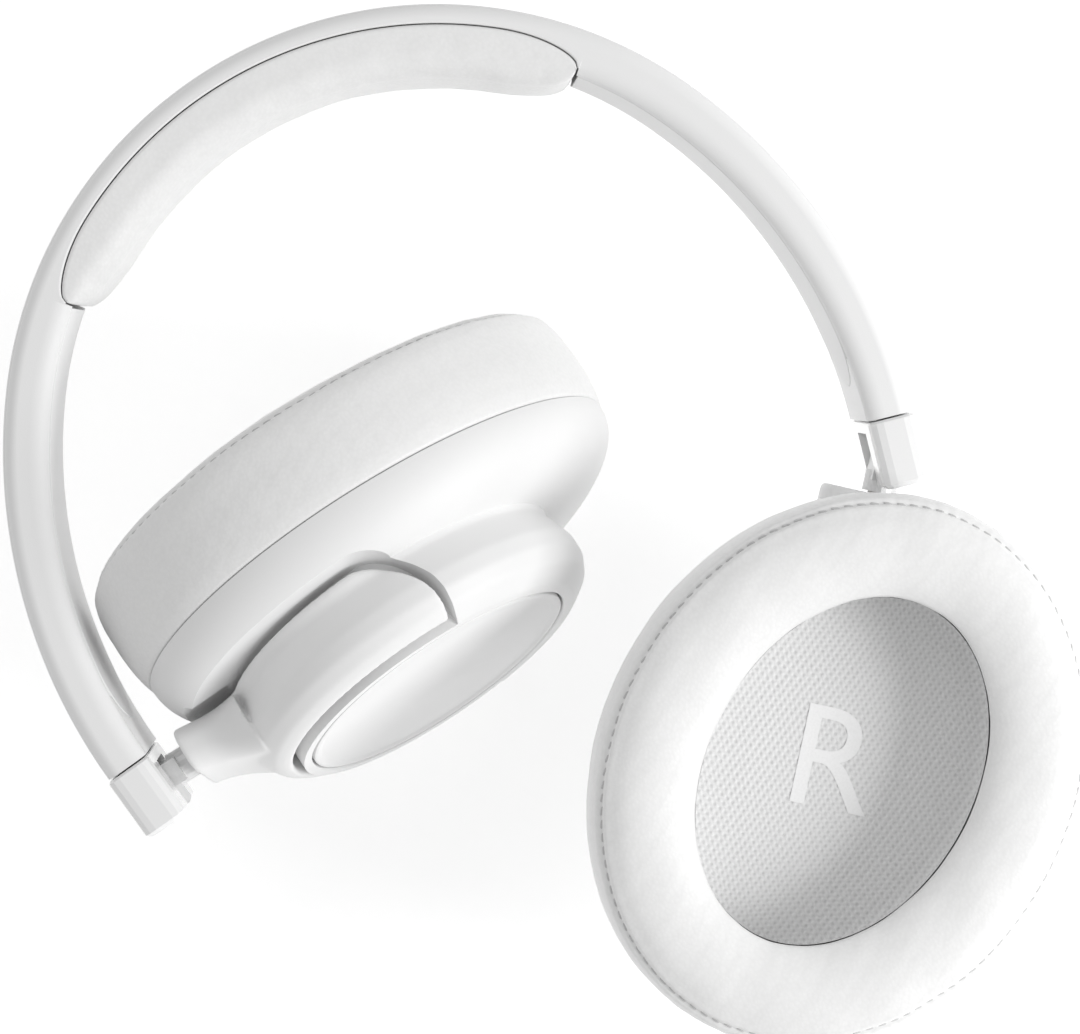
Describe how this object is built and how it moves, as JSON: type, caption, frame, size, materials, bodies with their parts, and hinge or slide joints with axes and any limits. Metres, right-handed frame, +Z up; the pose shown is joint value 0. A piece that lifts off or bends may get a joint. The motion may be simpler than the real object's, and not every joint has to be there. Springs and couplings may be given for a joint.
{
  "type": "over-ear headphones",
  "caption": "Wireless folding over-ear headphones with a padded sprung headband, curved sliders, folding hinges and swivelling oval cups.",
  "frame": {"origin": "middle of the bounding box at its lowest level, the plane that the two cups rest on", "axes": "+Z up; +Y roughly towards the headband's apex; +X towards the wearer's right side; the headband's plane is tipped about 19 degrees because the object lies on both cups"},
  "size_m": [0.1604, 0.197, 0.0834],
  "materials": {
    "matte_white": "soft-touch satin",
    "gloss_white": "polished",
    "leatherette": "fine-grain protein leather",
    "knit_scrim": "ribbed acoustic knit",
    "steel": "brushed",
    "cast_metal": "satin",
    "bush_brass": "machined",
    "diaphragm_film": "thin film",
    "battery_wrap": "foil wrap",
    "board_green": "solder mask",
    "black_plastic": "moulded"
  },
  "bodies": {
    "left_cup": {"battery": "battery_wrap", "left_baffle": "black_plastic", "left_cup_cap": "matte_white", "left_cup_housing": "matte_white", "left_driver_diaphragm": "diaphragm_film", "left_driver_frame": "black_plastic", "left_driver_magnet": "steel", "left_ear_pad": "leatherette", "left_ear_scrim": "knit_scrim", "left_pad_plate": "black_plastic"},
    "right_cup": {"charging_socket": "steel", "circuit_board": "board_green", "right_baffle": "black_plastic", "right_cup_cap": "matte_white", "right_cup_housing": "matte_white", "right_driver_diaphragm": "diaphragm_film", "right_driver_frame": "black_plastic", "right_driver_magnet": "steel", "right_ear_pad": "leatherette", "right_ear_scrim": "knit_scrim", "right_pad_plate": "black_plastic"},
    "headband": {"headband_cushion": "leatherette", "headband_shell": "matte_white", "left_inner_cover": "matte_white", "left_slider_guide": "matte_white", "right_inner_cover": "matte_white", "right_slider_guide": "matte_white", "spring_strip": "steel"},
    "left_knuckle": {"left_fold_knuckle": "cast_metal"},
    "left_slider": {"left_fold_pin": "steel", "left_slider_end": "gloss_white", "left_slider_rail": "steel"},
    "left_yoke": {"left_swivel_bush": "bush_brass", "left_tilt_pin_front": "steel", "left_tilt_pin_rear": "steel", "left_yoke": "matte_white"},
    "power_button": {"power_button": "matte_white"},
    "right_knuckle": {"right_fold_knuckle": "cast_metal"},
    "right_slider": {"right_fold_pin": "steel", "right_slider_end": "gloss_white", "right_slider_rail": "steel"},
    "right_yoke": {"right_swivel_bush": "bush_brass", "right_tilt_pin_front": "steel", "right_tilt_pin_rear": "steel", "right_yoke": "matte_white"},
    "volume_down_button": {"volume_down_button": "matte_white"},
    "volume_up_button": {"volume_up_button": "matte_white"}
  },
  "joints": [
    {"name": "left_extend", "type": "hinge", "parent": "headband", "child": "left_slider", "pos_m": [0.01638, 0.01375, 0.04115], "axis": [0.1227, -0.2992, 0.9463], "range_deg": [0, 15.5]},
    {"name": "left_fold", "type": "hinge", "parent": "left_slider", "child": "left_knuckle", "pos_m": [-0.07337, -0.0075, 0.04607], "axis": [0.1227, -0.2992, 0.9463], "range_deg": [-15, 5]},
    {"name": "left_swivel", "type": "hinge", "parent": "left_knuckle", "child": "left_yoke", "pos_m": [-0.07337, -0.0075, 0.04607], "axis": [-0.9887, -0.1196, 0.0904], "range_deg": [-78, 2]},
    {"name": "left_tilt", "type": "hinge", "parent": "left_yoke", "child": "left_cup", "pos_m": [-0.022, -0.0034, 0.0414], "axis": [-0.0895, -0.0132, -0.9959], "range_deg": [-2, 2]},
    {"name": "right_extend", "type": "hinge", "parent": "headband", "child": "right_slider", "pos_m": [-0.02136, 0.01375, 0.04605], "axis": [-0.1227, 0.2992, -0.9463], "range_deg": [0, 15.5]},
    {"name": "right_fold", "type": "hinge", "parent": "right_slider", "child": "right_knuckle", "pos_m": [0.06667, -0.0075, 0.02791], "axis": [-0.1227, 0.2992, -0.9463], "range_deg": [-26.4, 16]},
    {"name": "right_swivel", "type": "hinge", "parent": "right_knuckle", "child": "right_yoke", "pos_m": [0.06667, -0.0075, 0.02791], "axis": [0.6276, 0.762, 0.1596], "range_deg": [-110, 5]},
    {"name": "right_tilt", "type": "hinge", "parent": "right_yoke", "child": "right_cup", "pos_m": [0.03397, -0.04627, 0.01767], "axis": [0.7688, -0.5742, -0.2813], "range_deg": [-2, 2]},
    {"name": "power_button_press", "type": "slide", "parent": "right_cup", "child": "power_button", "axis": [-0.0468, 0.3831, 0.9225], "range_m": [0, 0.0006], "stiffness_N_per_m": 1500, "springref_m": -0.0006},
    {"name": "volume_up_button_press", "type": "slide", "parent": "right_cup", "child": "volume_up_button", "axis": [-0.1899, 0.3991, 0.897], "range_m": [0, 0.0006], "stiffness_N_per_m": 1500, "springref_m": -0.0006},
    {"name": "volume_down_button_press", "type": "slide", "parent": "right_cup", "child": "volume_down_button", "axis": [0.0843, 0.3327, 0.9392], "range_m": [0, 0.0006], "stiffness_N_per_m": 1500, "springref_m": -0.0006}
  ]
}
